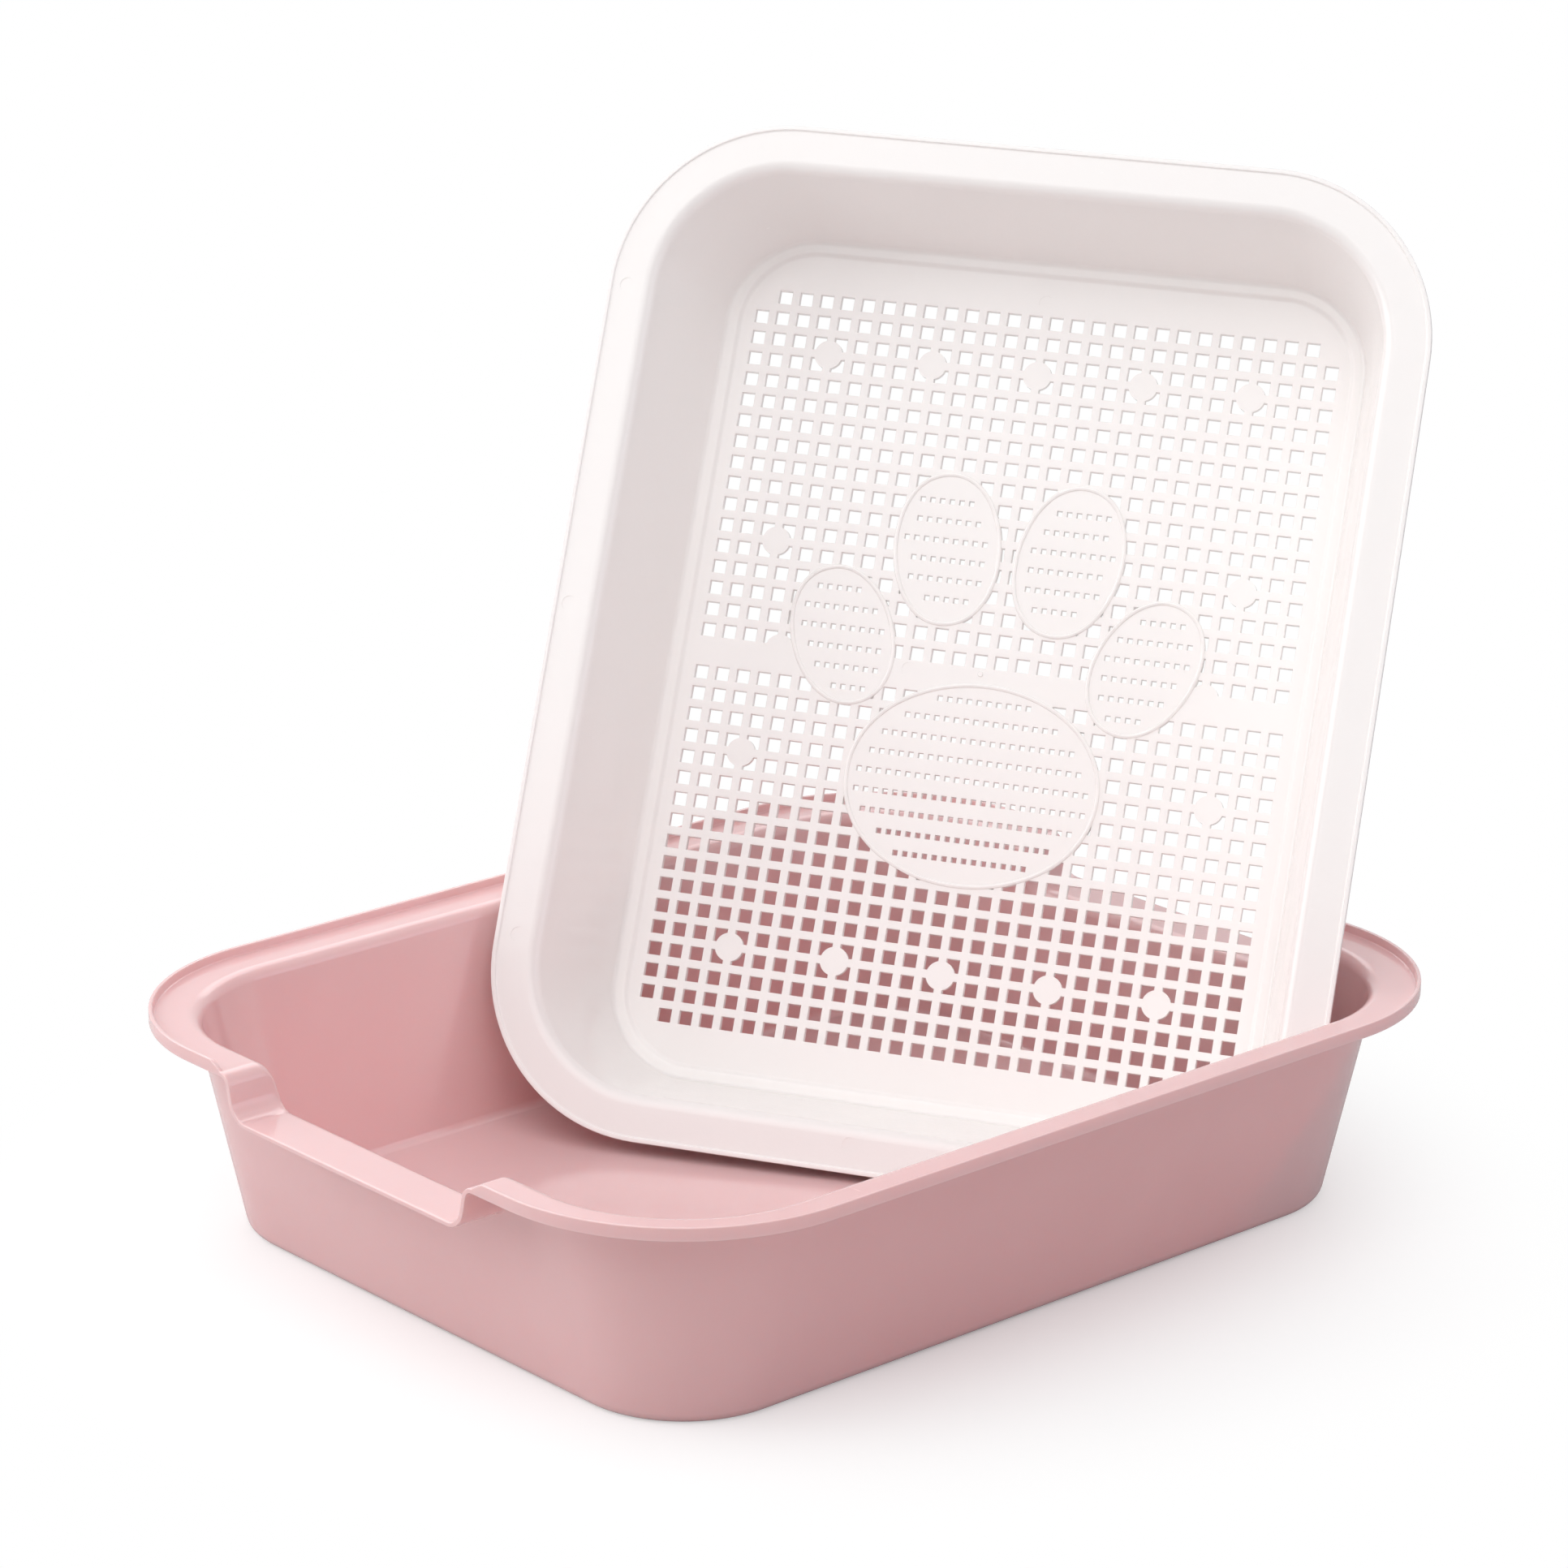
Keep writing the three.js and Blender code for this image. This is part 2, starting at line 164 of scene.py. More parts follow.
class Bench:
    """The modelling moves that both pieces are made with."""

    @staticmethod
    def clear() -> None:
        """Returns to object mode with nothing selected."""
        if bpy.context.mode != "OBJECT":
            bpy.ops.object.mode_set(mode="OBJECT")
        bpy.ops.object.select_all(action="DESELECT")

    @staticmethod
    def hold(piece: Body) -> None:
        """Makes one object the only selected one, and the active one.

        Args:
            piece: The object to work on.
        """
        Bench.clear()
        piece.select_set(True)
        bpy.context.view_layer.objects.active = piece

    @staticmethod
    def name(label: str) -> Body:
        """Names the object that was just added.

        Args:
            label: The name for the object and its mesh.

        Returns:
            The object.
        """
        piece = bpy.context.active_object
        piece.name = label
        piece.data.name = label
        return piece

    @staticmethod
    def edit(piece: Body) -> None:
        """Opens an object in edit mode with all of it selected.

        Args:
            piece: The object to edit.
        """
        Bench.hold(piece)
        bpy.ops.object.mode_set(mode="EDIT")
        bpy.context.tool_settings.mesh_select_mode = (True, False, False)
        bpy.ops.mesh.select_all(action="SELECT")

    @staticmethod
    def pick_corners(piece: Body, wanted: Callable[[Vector], bool]) -> None:
        """Selects the vertices whose place passes a test.

        Args:
            piece: The object in edit mode.
            wanted: The test, on a place in millimetres.
        """
        bpy.context.tool_settings.mesh_select_mode = (True, False, False)
        bpy.ops.mesh.select_all(action="DESELECT")
        mesh = bmesh.from_edit_mesh(piece.data)
        for vertex in mesh.verts:
            if wanted(vertex.co / MM):
                vertex.select_set(True)
        mesh.select_flush(True)
        bmesh.update_edit_mesh(piece.data)

    @staticmethod
    def pick_faces(piece: Body, wanted: Callable[[Vector, Vector], bool]) -> None:
        """Selects the faces whose middle and normal pass a test.

        Args:
            piece: The object in edit mode.
            wanted: The test, on a middle in millimetres and a normal.
        """
        bpy.ops.mesh.select_all(action="DESELECT")
        bpy.context.tool_settings.mesh_select_mode = (False, False, True)
        mesh = bmesh.from_edit_mesh(piece.data)
        for face in mesh.faces:
            if wanted(face.calc_center_median() / MM, face.normal):
                face.select_set(True)
        bmesh.update_edit_mesh(piece.data)

    @staticmethod
    def follow(start: Ring, rings: Iterable[Ring], outward: int) -> None:
        """Carries the selected flat face along a profile, ring by ring.

        Args:
            start: The ring that the face is at.
            rings: The rings to go through.
            outward: 1 for a face that looks up, -1 for one that looks down.
        """
        last = start
        for ring in rings:
            step = (ring.inset - last.inset) * MM
            rise = (ring.height - last.height) * MM
            if abs(step) < TINY:
                bpy.ops.mesh.extrude_region_move(
                    TRANSFORM_OT_translate={"value": (0, 0, rise)}
                )
            else:
                bpy.ops.mesh.inset(
                    thickness=step, depth=rise * outward, use_even_offset=True
                )
            last = ring

    @staticmethod
    def shift(piece: Body, plan: Callable[[Vector], Vector | None]) -> None:
        """Moves vertices by a plan, all those with one and the same move at once.

        Args:
            piece: The object in edit mode.
            plan: Gives the move of a place, in millimetres, or None.
        """
        mesh = bmesh.from_edit_mesh(piece.data)
        mesh.verts.ensure_lookup_table()
        moves = defaultdict(list)
        for vertex in mesh.verts:
            move = plan(vertex.co / MM)
            if move is not None and move.length > TINY:
                moves[tuple(round(c, 4) for c in move)].append(vertex.index)
        bpy.context.tool_settings.mesh_select_mode = (True, False, False)
        for move, indices in moves.items():
            bpy.ops.mesh.select_all(action="DESELECT")
            mesh = bmesh.from_edit_mesh(piece.data)
            mesh.verts.ensure_lookup_table()
            for index in indices:
                mesh.verts[index].select_set(True)
            bpy.ops.transform.translate(value=Vector(move) * MM)

    @staticmethod
    def carve(piece: Body, tool: Body, how: Cut) -> None:
        """Cuts a tool away from a piece or joins it on, and removes the tool.

        Args:
            piece: The object that is changed.
            tool: The object that changes it.
            how: Whether the tool is cut away or joined on.
        """
        Bench.hold(piece)
        change = piece.modifiers.new("carve", "BOOLEAN")
        change.object = tool
        change.operation = how.value
        change.solver = "MANIFOLD"
        bpy.ops.object.modifier_apply(modifier=change.name)
        bpy.data.objects.remove(tool)

    @staticmethod
    def repeat(piece: Body, count: int, step: Vector) -> None:
        """Repeats a piece in a row.

        Args:
            piece: The object to repeat.
            count: How many there are in the row.
            step: The way from one to the next, in millimetres.
        """
        Bench.hold(piece)
        row = piece.modifiers.new("row", "ARRAY")
        row.use_relative_offset = False
        row.use_constant_offset = True
        row.constant_offset_displace = step * MM
        row.count = count
        bpy.ops.object.modifier_apply(modifier=row.name)

    @staticmethod
    def clean(piece: Body) -> None:
        """Merges corners that a cut left on top of each other.

        Args:
            piece: The object to clean.
        """
        Bench.edit(piece)
        bpy.ops.mesh.remove_doubles(threshold=2 * TINY)
        bpy.ops.mesh.select_all(action="SELECT")
        bpy.ops.mesh.dissolve_degenerate(threshold=TINY)
        Bench.clear()

    @staticmethod
    def settle(piece: Body) -> None:
        """Puts an object's place into its mesh, so that it sits at the origin.

        Args:
            piece: The object to settle.
        """
        Bench.hold(piece)
        bpy.ops.object.transform_apply(location=True, rotation=True, scale=True)

    @staticmethod
    def smooth(piece: Body, angle_deg: float) -> None:
        """Shades a piece smooth with flat faces kept flat.

        Args:
            piece: The object to shade.
            angle_deg: Edges sharper than this stay sharp.
        """
        Bench.hold(piece)
        bpy.ops.object.shade_smooth_by_angle(angle=math.radians(angle_deg))
        even = piece.modifiers.new("even", "WEIGHTED_NORMAL")
        even.keep_sharp = True
        bpy.ops.object.modifier_apply(modifier=even.name)

    @staticmethod
    def post(
        label: str, place: Triple, radius: float, tall: float, sides: int
    ) -> Body:
        """Models an upright cylinder.

        Args:
            label: The cylinder's name.
            place: Its middle, in millimetres.
            radius: Its radius, in millimetres.
            tall: Its height, in millimetres.
            sides: How many sides it has.

        Returns:
            The cylinder.
        """
        Bench.clear()
        bpy.ops.mesh.primitive_cylinder_add(
            vertices=sides, radius=radius * MM, depth=tall * MM,
            location=[c * MM for c in place],
        )
        return Bench.name(label)

    @staticmethod
    def outward() -> None:
        """Turns all faces of the closed shell in edit mode outwards."""
        bpy.ops.mesh.select_all(action="SELECT")
        bpy.ops.mesh.normals_make_consistent(inside=False)


@dataclass
class Moulding:
    """An open moulding with a flange round it, a sloping wall and a flat floor."""

    width: float
    length: float
    corner_radius: float
    top: float
    flange_thickness: float
    wall_thickness: float
    wall_inset: float
    wall_draft_deg: float
    floor_thickness: float
    flange_roll: float
    under_fillet: float
    corner_segments: int
    arc_segments: int = 7
    under_segments: int = 3
    under_edge: tuple[Pair, ...] = ((0.0, 0.3), (0.1, 0.1), (0.3, 0.0))
    smooth_deg: float = 32.0

    @property
    def draft(self) -> float:
        """The wall's lean, as an inset for each millimetre down."""
        return math.tan(math.radians(self.wall_draft_deg))

    def outer_inset(self, height: float) -> float:
        """The wall's outer face at a height, in from the rim's edge."""
        return self.wall_inset + (self.top - height) * self.draft

    def inner_inset(self, height: float) -> float:
        """The wall's inner face at a height, in from the rim's edge."""
        return self.outer_inset(height) + self.wall_thickness

    def rounding(
        self, rise: int, wall: float, height: float, radius: float, steps: int
    ) -> list[Ring]:
        """Gives the rounding between the wall and a flat face.

        Args:
            rise: -1 for an edge from the face down into the wall, and 1 for a
                corner from the wall down into the face.
            wall: Where the wall would meet the flat face.
            height: The flat face's height.
            radius: The rounding's radius.
            steps: How many steps it has.

        Returns:
            The rings, from the upper end to the lower.
        """
        slope = 90 - self.wall_draft_deg
        reach = radius * math.tan(math.radians(slope / 2))
        start, end = (90, 90 - slope) if rise < 0 else (-90 - slope, -90)
        return arc(
            wall + rise * reach, height + rise * radius, radius, start, end, steps
        )

    def flange_under(self) -> list[Ring]:
        """Gives the flange's underside, from the rim's edge to the outer wall."""
        under = self.top - self.flange_thickness
        edge = [Ring(inset, under + rise) for inset, rise in self.under_edge]
        return edge + self.rounding(
            -1, self.outer_inset(under), under, self.under_fillet, self.under_segments
        )

    def sheet(self, label: str, inside: list[Ring], outside: list[Ring]) -> Body:
        """Carries a flat sheet with rounded corners along both profiles.

        Args:
            label: The piece's name.
            inside: The rings over the flange and down into the floor.
            outside: The rings under the flange and down to the underside.

        Returns:
            The closed shell, in edit mode.
        """
        start = outside[0]
        Bench.clear()
        bpy.ops.mesh.primitive_plane_add(size=MM, location=(0, 0, 0))
        piece = Bench.name(label)
        Bench.edit(piece)
        bpy.ops.transform.resize(
            value=(self.width, self.length, 1), center_override=(0, 0, 0)
        )
        bpy.ops.transform.translate(value=(0, 0, start.height * MM))
        bpy.ops.mesh.bevel(
            offset=self.corner_radius * MM, offset_type="OFFSET",
            segments=self.corner_segments, affect="VERTICES", profile=0.5,
            clamp_overlap=False,
        )
        bpy.ops.mesh.select_all(action="SELECT")
        bpy.context.tool_settings.mesh_select_mode = (False, False, True)
        Bench.follow(start, inside, 1)
        Bench.pick_faces(
            piece, lambda middle, normal: abs(middle.z - start.height) < FLAT
        )
        Bench.follow(start, outside[1:], -1)
        return piece


@dataclass
class LitterPan(Moulding):
    """The pink litter pan, an open moulding with a lip round its flange."""

    width: float = 313.0
    length: float = 384.0
    corner_radius: float = 71.5
    top: float = 77.5
    flange_thickness: float = 1.7
    wall_thickness: float = 2.0
    wall_inset: float = 15.2
    wall_draft_deg: float = 12.1
    floor_thickness: float = 2.9
    flange_roll: float = 5.0
    under_fillet: float = 1.6
    corner_segments: int = 28
    floor_fillet: float = 3.2
    bottom_fillet: float = 5.0
    lip_height: float = 3.0
    lip_crown: tuple[Triple, ...] = (
        (0.0, 0.4, 0.4), (0.06, 0.2, 0.2), (0.2, 0.06, 0.06), (0.4, 0.0, 0.0),
        (0.95, 0.0, 0.0), (1.2, 0.08, 0.0), (1.36, 0.3, 0.0), (1.42, 0.6, 0.0),
    )
    lip_foot: tuple[Pair, ...] = (
        (1.62, 0.55), (1.72, 0.22), (1.95, 0.05), (2.3, 0.0),
    )
    lip_run: float = 5.6
    lip_fade: tuple[Pair, ...] = (
        (1.0, 1.0), (0.86, 0.93), (0.7, 0.74), (0.5, 0.56), (0.3, 0.34), (0.12, 0.1),
        (0.04, 0.0),
    )
    entry_half_width: float = 61.0
    entry_drop: float = 15.0
    entry_slope_deg: float = 78.0
    entry_upper_radius: float = 5.0
    entry_lower_radius: float = 7.0

    def lip_rings(self) -> list[RimRing]:
        """Gives the rounded lip at the rim's edge, from outside to inside."""
        lip = self.top + self.lip_height
        crown = [
            RimRing(inset, lip - sunk, self.top - bare)
            for inset, sunk, bare in self.lip_crown
        ]
        foot = [
            RimRing(inset, self.top + rise, self.top) for inset, rise in self.lip_foot
        ]
        return crown + foot

    def roll_rings(self) -> list[Ring]:
        """Gives the flange's rounded way down into the inner wall."""
        return self.rounding(
            -1, self.inner_inset(self.top), self.top, self.flange_roll,
            self.arc_segments,
        )

    def columns(self) -> list[Column]:
        """Gives the cuts on one side of an entry, from the rim to the sill."""
        steep = math.radians(self.entry_slope_deg)
        half = self.entry_drop / 2 / math.tan(steep)
        upper = self.entry_half_width + half
        upper += self.entry_upper_radius * math.tan(steep / 2)
        lower = self.entry_half_width - half
        lower -= self.entry_lower_radius * math.tan(steep / 2)
        made = [
            Column(upper + self.lip_run * run, 0.0, share, 0.0)
            for run, share in self.lip_fade
        ]
        steps = self.arc_segments
        for i in range(steps + 1):
            a = steep * i / steps
            made.append(Column(
                upper - self.entry_upper_radius * math.sin(a),
                self.entry_upper_radius * (1 - math.cos(a)), 0.0, a,
            ))
        for i in range(steps, -1, -1):
            a = steep * i / steps
            made.append(Column(
                lower + self.entry_lower_radius * math.sin(a),
                self.entry_drop - self.entry_lower_radius * (1 - math.cos(a)), 0.0, a,
            ))
        return made

    def entry_plan(self) -> Callable[[Vector], Vector | None]:
        """Makes the plan that lowers the plain rim into the two entries.

        Returns:
            A function from a place on the plain rim to its move.
        """
        columns = self.columns()
        lip = self.lip_rings()
        under = self.flange_under()
        flange_end, *_, roll_end = self.roll_rings()
        lowest = min(roll_end.height, under[-1].height)

        def plan(place: Vector) -> Vector | None:
            """Gives the move of one place."""
            inset = self.length / 2 - abs(place.y)
            if abs(place.x) > columns[0].across + NEAR or inset > roll_end.inset + NEAR:
                return None
            if place.z < lowest - NEAR:
                return None
            column = min(columns, key=lambda c: abs(c.across - abs(place.x)))
            inward = -1 if place.y > 0 else 1
            side = 1 if place.x > 0 else -1
            if inset < under[-1].inset + NEAR and place.z < under[0].height + NEAR:
                lift = self.flange_thickness * (1 - math.cos(column.slope))
                across = side * self.flange_thickness * math.sin(column.slope)
                drop = column.drop - lift
                along = self.draft * drop if inset > self.wall_inset / 2 else 0.0
                return Vector((across, inward * along, -drop))
            sink = column.drop
            if inset < lip[-1].inset + NEAR:
                ring = min(
                    lip, key=lambda r: abs(r.inset - inset) + abs(r.height - place.z)
                )
                sink += (1 - column.lip_share) * (ring.height - ring.bare)
            along = self.draft * column.drop if inset > flange_end.inset - NEAR else 0.0
            return Vector((0.0, inward * along, -sink))

        return plan

    def shape(self) -> Body:
        """Models the pan."""
        floor = self.floor_thickness
        inside = self.lip_rings() + self.roll_rings() + self.rounding(
            1, self.inner_inset(floor), floor, self.floor_fillet, self.arc_segments
        )
        outside = self.flange_under() + self.rounding(
            1, self.outer_inset(0), 0, self.bottom_fillet, self.arc_segments
        )
        piece = self.sheet("pink_litter_pan", inside, outside)
        for column in self.columns():
            for side in (-1, 1):
                bpy.ops.mesh.select_all(action="SELECT")
                bpy.ops.mesh.bisect(
                    plane_co=(side * column.across * MM, 0, 0), plane_no=(1, 0, 0),
                    use_fill=False, threshold=TINY,
                )
        Bench.shift(piece, self.entry_plan())
        Bench.outward()
        Bench.smooth(piece, self.smooth_deg)
        return piece

    def build(self) -> Body:
        """Models the pan, dresses it and sets it on its body."""
        piece = self.shape()
        piece.data.materials.clear()
        piece.data.materials.append(PINK.make())
        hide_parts("litter_pan")
        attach(piece, "pan")
        return piece


@dataclass
class SiftingTray(Moulding):
    """The white sifting tray, modelled flat and then leant in the pan."""

    width: float = 303.5
    length: float = 374.5
    corner_radius: float = 64.0
    top: float = 53.0
    flange_thickness: float = 1.8
    wall_thickness: float = 1.66
    wall_inset: float = 14.7
    wall_draft_deg: float = 15.7
    floor_thickness: float = 2.0
    flange_roll: float = 5.0
    under_fillet: float = 1.4
    corner_segments: int = 26
    base_fillet: float = 1.6
    base_segments: int = 4
    border_height: float = 0.6
    border_crown: tuple[Pair, ...] = (
        (0.0, 0.35), (0.1, 0.12), (0.35, 0.0), (1.3, 0.0), (1.5, 0.06), (1.66, 0.24),
    )
    border_foot: tuple[Pair, ...] = ((1.78, 0.12), (1.95, 0.02), (2.2, 0.0))
    ledge_height: float = 1.1
    ledge_fillet: float = 2.0
    ledge_segments: int = 5
    ledge_width: float = 3.6
    ledge_step: float = 2.2
    end_ease: float = 2.1
    pitch: float = 8.0
    columns: int = 28
    half_rows: int = 17
    hole: float = 5.0
    hole_foot: float = 4.8
    hole_ease: float = 0.14
    small_hole: float = 2.0
    small_foot: float = 1.92
    small_ease: float = 0.08
    small_counts: tuple[int, int] = (44, 23)
    small_steps: Pair = (3.7, 7.3)
    small_margin: float = 1.5
    overrun: float = 0.7
    through: float = 12.0
    sliver: float = 4.0
    disc_radius: float = 5.3
    disc_sides: int = 40
    disc_across: tuple[int, ...] = (-80, -40, 0, 40, 80)
    disc_along: tuple[int, ...] = (-108, 116)
    disc_flanks: tuple[tuple[int, int], ...] = ((88, 44), (80, 4), (88, -36))
    line_width: float = 1.6
    line_height: float = 0.6
    line_gap: float = 0.1
    line_steps: int = 24
    oval_sides: int = 96
    paw: tuple[Oval, ...] = (
        Oval(0, -38, 47, 37, 0),
        Oval(-23, 48, 19.5, 28, 8),
        Oval(23, 48, 19.5, 28, -8),
        Oval(-57, 12, 18.5, 26, 24),
        Oval(57, 12, 18.5, 26, -24),
    )
    pin_radius: float = 2.7
    pin_depth: float = 0.16
    pin_tall: float = 2.0
    pin_sides: int = 36
    pins: tuple[tuple[float, float, int], ...] = (
        (-144.5, 122.0, 1), (-145.6, 2.4, 1), (-143.2, -119.5, 1), (-9.5, -177.2, 1),
        (-0.9, 143.6, 0), (-30.0, 2.0, 0),
    )
    nub_place: Triple = (-3.1, 3.3, -0.3)
    nub_radii: Pair = (1.5, 0.9)
    nub_tall: float = 1.4
    nub_sides: int = 24
    turn_deg: float = 31.96
    tilt_deg: float = 62.61
    roll_deg: float = -1.74
    foot: Triple = (13.3, 25.9, 6.41)

    def inside_rings(self) -> list[Ring]:
        """Gives the profile from the rim's edge, over the flange, to the floor."""
        flat = self.top - self.border_height
        rings = [Ring(inset, self.top - sunk) for inset, sunk in self.border_crown]
        rings += [Ring(inset, flat + rise) for inset, rise in self.border_foot]
        rings += self.rounding(
            -1, self.inner_inset(flat), flat, self.flange_roll, self.arc_segments
        )
        ledge = self.inner_inset(self.ledge_height)
        rings += self.rounding(
            1, ledge, self.ledge_height, self.ledge_fillet, self.ledge_segments
        )
        edge = ledge + self.ledge_width
        steps = self.arc_segments - 1
        for i in range(self.arc_segments):
            turn = math.pi * i / steps
            rings.append(Ring(
                edge + self.ledge_step * i / steps,
                self.ledge_height * (1 + math.cos(turn)) / 2,
            ))
        return rings

    def outside_rings(self) -> list[Ring]:
        """Gives the profile from the rim's edge, under the flange, to the base."""
        base = -self.floor_thickness
        return self.flange_under() + self.rounding(
            1, self.outer_inset(base), base, self.base_fillet, self.base_segments
        )

    def disc_places(self) -> list[Pair]:
        """Gives the round pads' middles, each where four holes would meet."""
        places = [(x, y) for x in self.disc_across for y in self.disc_along]
        for side in (-1, 1):
            places += [(side * x, y) for x, y in self.disc_flanks]
        return places

    def shell(self) -> Body:
        """Models the tray without holes, lying flat with its floor's top at zero."""
        rings = self.inside_rings(), self.outside_rings()
        piece = self.sheet("white_sifting_tray", *rings)

        def ease(place: Vector) -> Vector:
            """Steepens the two end walls, whose feet stand further out."""
            down = max(0.0, self.top - self.flange_thickness - place.z) / self.top
            return Vector((0, math.copysign(self.end_ease * down, place.y), 0))

        Bench.shift(piece, ease)
        Bench.outward()
        Bench.clear()
        return piece

    def marks(self, piece: Body) -> None:
        """Leaves the ejector pins' shallow prints and the gate's small nub.

        Args:
            piece: The tray, lying flat.
        """
        rim = self.top - self.border_height
        for x, y, on_rim in self.pins:
            middle = on_rim * rim + self.pin_tall / 2 - self.pin_depth
            pin = Bench.post(
                "pin_print", (x, y, middle), self.pin_radius, self.pin_tall,
                self.pin_sides,
            )
            Bench.carve(piece, pin, Cut.AWAY)
        Bench.clear()
        foot, tip = self.nub_radii
        bpy.ops.mesh.primitive_cone_add(
            vertices=self.nub_sides, radius1=foot * MM, radius2=tip * MM,
            depth=self.nub_tall * MM, location=[c * MM for c in self.nub_place],
        )
        Bench.carve(piece, Bench.name("gate_nub"), Cut.TOGETHER)

    def punch(self, label: str, top: float, foot: float, ease: float) -> Body:
        """Models one square punch, a little narrower at its foot.

        Args:
            label: The punch's name.
            top: Its side at the floor's top.
            foot: Its side at the floor's underside.
            ease: How far its upper edge flares out, or 0.

        Returns:
            The punch at the origin.
        """
        Bench.clear()
        bpy.ops.mesh.primitive_cube_add(size=top * MM)
        piece = Bench.name(label)
        Bench.edit(piece)
        centre = (0, 0, 0)
        deep = self.floor_thickness + self.overrun
        share = 1 + (foot / top - 1) * deep / self.floor_thickness
        Bench.pick_corners(piece, lambda place: place.z < 0)
        bpy.ops.transform.resize(value=(share, share, 1), center_override=centre)
        bpy.ops.transform.translate(value=(0, 0, (top / 2 - deep) * MM))
        Bench.pick_corners(piece, lambda place: place.z > 0)
        bpy.ops.transform.translate(value=(0, 0, (-ease - top / 2) * MM))
        rise = ease + self.overrun
        wide = (top + 2 * rise) / top
        Bench.pick_faces(piece, lambda middle, normal: normal.z > UPWARD)
        bpy.ops.mesh.extrude_region_move(
            TRANSFORM_OT_translate={"value": (0, 0, rise * MM)}
        )
        bpy.ops.transform.resize(value=(wide, wide, 1), center_override=centre)
        Bench.clear()
        return piece

    def net(
        self, punch: Body, counts: tuple[int, int], steps: Pair,
        unwanted: Callable[[float, float], bool],
    ) -> Body:
        """Repeats a punch into a net round the origin, with places left out.

        Args:
            punch: The punch at the origin.
            counts: An even number of punches across, and an odd number along.
            steps: The net's steps across and along.
            unwanted: Tells of a punch's middle whether it is left out.

        Returns:
            The net.
        """
        (columns, rows), (across, along) = counts, steps
        corner = Vector(((1 - columns) / 2 * across, (1 - rows) / 2 * along, 0))
        punch.location = corner * MM
        Bench.settle(punch)
        Bench.repeat(punch, columns, Vector((across, 0, 0)))
        Bench.repeat(punch, rows, Vector((0, along, 0)))
        Bench.edit(punch)

        def gone(place: Vector) -> bool:
            """Finds the punch that a corner belongs to, and asks for it."""
            x = (math.floor(place.x / across) + 0.5) * across
            y = round(place.y / along) * along
            return unwanted(x, y)

        Bench.pick_corners(punch, gone)
        bpy.ops.mesh.delete(type="VERT")
        Bench.clear()
        return punch

    @staticmethod
    def lay(piece: Body, oval: Oval) -> None:
        """Turns a body as an oval is turned, and puts it in the oval's place.

        Args:
            piece: The body, modelled round the origin.
            oval: The oval.
        """
        piece.rotation_euler = (0, 0, math.radians(oval.turn_deg))
        piece.location = (oval.across * MM, oval.along * MM, 0)
        Bench.settle(piece)

    def in_print(self, x: float, y: float, half: float, grow: float) -> bool:
        """Tells whether a square lies wholly in one of the print's ovals.

        Args:
            x: The square's middle across.
            y: The square's middle along.
            half: Half its side.
            grow: How far the ovals' edges are moved outwards.

        Returns:
            True if one oval holds all four corners.
        """
        corners = [(x + i * half, y + j * half) for i in (-1, 1) for j in (-1, 1)]
        return any(
            all(oval.holds(*corner, grow) for corner in corners) for oval in self.paw
        )

    def blank(self, oval: Oval, grow: float) -> Body:
        """Models the upright body of one oval of the paw print.

        Args:
            oval: The oval.
            grow: How far its edge is moved outwards.

        Returns:
            The body, which reaches through the floor.
        """
        piece = Bench.post("oval_blank", (0, 0, 0), 1, self.through, self.oval_sides)
        piece.scale = (oval.half_width + grow, oval.half_length + grow, 1)
        self.lay(piece, oval)
        return piece

    def line(self, oval: Oval) -> Body:
        """Models the raised half-round line round one oval.

        Args:
            oval: The oval.

        Returns:
            The line as a closed tube, half sunk in the floor.
        """
        Bench.clear()
        bpy.ops.curve.primitive_bezier_circle_add(radius=MM)
        piece = Bench.name("oval_line")
        bpy.ops.object.mode_set(mode="EDIT")
        bpy.ops.curve.select_all(action="SELECT")
        bpy.ops.transform.resize(
            value=(oval.half_width, oval.half_length, 1), center_override=(0, 0, 0)
        )
        Bench.hold(piece)
        piece.data.resolution_u = self.line_steps
        piece.data.bevel_depth = self.line_width / 2 * MM
        piece.data.bevel_resolution = 2
        bpy.ops.object.convert(target="MESH")
        piece = bpy.context.active_object
        piece.scale = (1, 1, self.line_height * 2 / self.line_width)
        self.lay(piece, oval)
        return piece

    def large_punches(self) -> Body:
        """Models the punches of the large holes, cut back at discs and lines."""
        punch = self.punch("large_punch", self.hole, self.hole_foot, self.hole_ease)
        end_x = (self.columns - 1) / 2 * self.pitch
        end_y = self.half_rows * self.pitch

        def unwanted(x: float, y: float) -> bool:
            """Leaves out the middle band, the corners and the print's inside."""
            corner = abs(x) > end_x - NEAR and abs(y) > end_y - NEAR
            inside = self.in_print(x, y, self.hole / 2, self.line_width / 2)
            return abs(y) < NEAR or corner or inside

        counts = (self.columns, 2 * self.half_rows + 1)
        net = self.net(punch, counts, (self.pitch, self.pitch), unwanted)
        for oval in self.paw:
            blank = self.blank(oval, self.line_width / 2 + self.line_gap)
            Bench.carve(net, blank, Cut.AWAY)
        for x, y in self.disc_places():
            disc = Bench.post(
                "disc", (x, y, 0), self.disc_radius, self.through, self.disc_sides
            )
            Bench.carve(net, disc, Cut.AWAY)
        self.drop_slivers(net)
        return net

